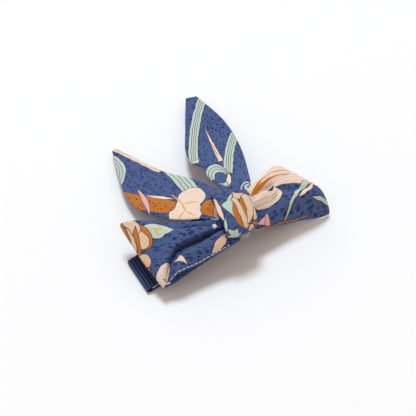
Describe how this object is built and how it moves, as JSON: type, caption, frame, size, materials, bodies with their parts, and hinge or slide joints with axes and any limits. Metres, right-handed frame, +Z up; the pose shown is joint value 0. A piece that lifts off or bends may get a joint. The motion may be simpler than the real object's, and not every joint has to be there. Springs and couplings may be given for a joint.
{
  "type": "hair bow",
  "caption": "Hand-tied fabric hair bow with two loops, a knot and two pointed tails on a ribbon-lined alligator clip.",
  "frame": {"origin": "middle of the whole bow's footprint, on the surface that the clip lies on", "axes": "+X along the clip from its mouth to its rear end, +Y across it towards the tails' tips, +Z up"},
  "size_m": [0.0508, 0.0534, 0.0139],
  "materials": {
    "clip_metal": "nickel-plated spring steel, satin",
    "pin_metal": "riveted steel",
    "spring_wire": "drawn spring wire",
    "grosgrain": "ribbed grosgrain ribbon",
    "hot_glue": "set hot-melt glue",
    "knot_cloth": "printed cotton",
    "loop_cloth": "printed cotton",
    "tail_cloth": "printed cotton",
    "thread": "sewing thread"
  },
  "bodies": {
    "bow": {"upper_arm": "clip_metal", "hinge_pin": "pin_metal", "spring_coil": "spring_wire", "ribbon_lining": "grosgrain", "glue_pad": "hot_glue", "glue_bead": "hot_glue", "knot_core": "knot_cloth", "knot_wrap": "knot_cloth", "left_loop": "loop_cloth", "right_loop": "loop_cloth", "left_tail": "tail_cloth", "right_tail": "tail_cloth", "seam_stitches": "thread"},
    "jaw": {"lower_jaw": "clip_metal", "spring_leg": "spring_wire"}
  },
  "joints": [
    {"name": "jaw_hinge", "type": "hinge", "parent": "bow", "child": "jaw", "pos_m": [0.00207, -0.01825, 0.00445], "axis": [0, -1, 0], "range_deg": [0, 16], "stiffness_Nm_per_rad": 0.01, "springref_deg": -85.94}
  ]
}
